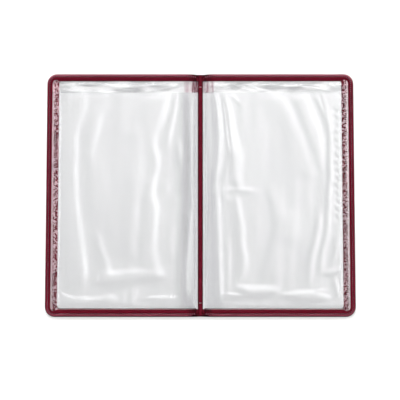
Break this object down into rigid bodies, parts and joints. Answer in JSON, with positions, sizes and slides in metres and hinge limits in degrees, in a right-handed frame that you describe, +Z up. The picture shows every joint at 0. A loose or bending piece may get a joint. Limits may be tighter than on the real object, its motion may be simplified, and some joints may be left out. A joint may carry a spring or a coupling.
{
  "type": "menu cover",
  "caption": "Folding menu cover with clear vinyl page pockets, a sewn leatherette edge binding and a creased spine strip, lying open flat.",
  "frame": {"origin": "on the table under the middle of the spine, at the bottom centre of the open cover's box", "axes": "+X across the open cover from the left leaf to the right leaf, +Y up the pages towards the pocket mouths, +Z up from the table, out of the inside faces"},
  "size_m": [0.47, 0.375, 0.0043],
  "materials": {
    "binding_leatherette": "burgundy embossed leatherette tape, satin",
    "border_leatherette": "burgundy leatherette behind clear vinyl, glossy",
    "clear_vinyl": "clear flexible vinyl sheet, polished and slightly wavy",
    "stitching_thread": "burgundy polyester sewing thread"
  },
  "bodies": {
    "left_leaf": {"left_back_border": "border_leatherette", "left_back_sheet": "clear_vinyl", "left_front_sheet": "clear_vinyl", "left_edge_binding": "binding_leatherette", "left_edge_needle_thread": "stitching_thread", "left_edge_bobbin_thread": "stitching_thread", "left_border_needle_thread": "stitching_thread", "left_border_bobbin_thread": "stitching_thread"},
    "spine": {"spine_core": "clear_vinyl", "spine_front_strip": "binding_leatherette", "spine_back_strip": "binding_leatherette", "spine_top_binding": "binding_leatherette", "spine_bottom_binding": "binding_leatherette", "spine_top_tack": "stitching_thread", "spine_bottom_tack": "stitching_thread"},
    "right_leaf": {"right_back_border": "border_leatherette", "right_back_sheet": "clear_vinyl", "right_front_sheet": "clear_vinyl", "right_edge_binding": "binding_leatherette", "right_edge_needle_thread": "stitching_thread", "right_edge_bobbin_thread": "stitching_thread", "right_border_needle_thread": "stitching_thread", "right_border_bobbin_thread": "stitching_thread"}
  },
  "joints": [
    {"name": "left_crease", "type": "hinge", "parent": "left_leaf", "child": "spine", "pos_m": [-0.0044, 0, 0.002], "axis": [0, -1, 0], "range_deg": [0, 90.7]},
    {"name": "right_crease", "type": "hinge", "parent": "spine", "child": "right_leaf", "pos_m": [0.0044, 0, 0.002], "axis": [0, -1, 0], "range_deg": [0, 90.7]}
  ]
}
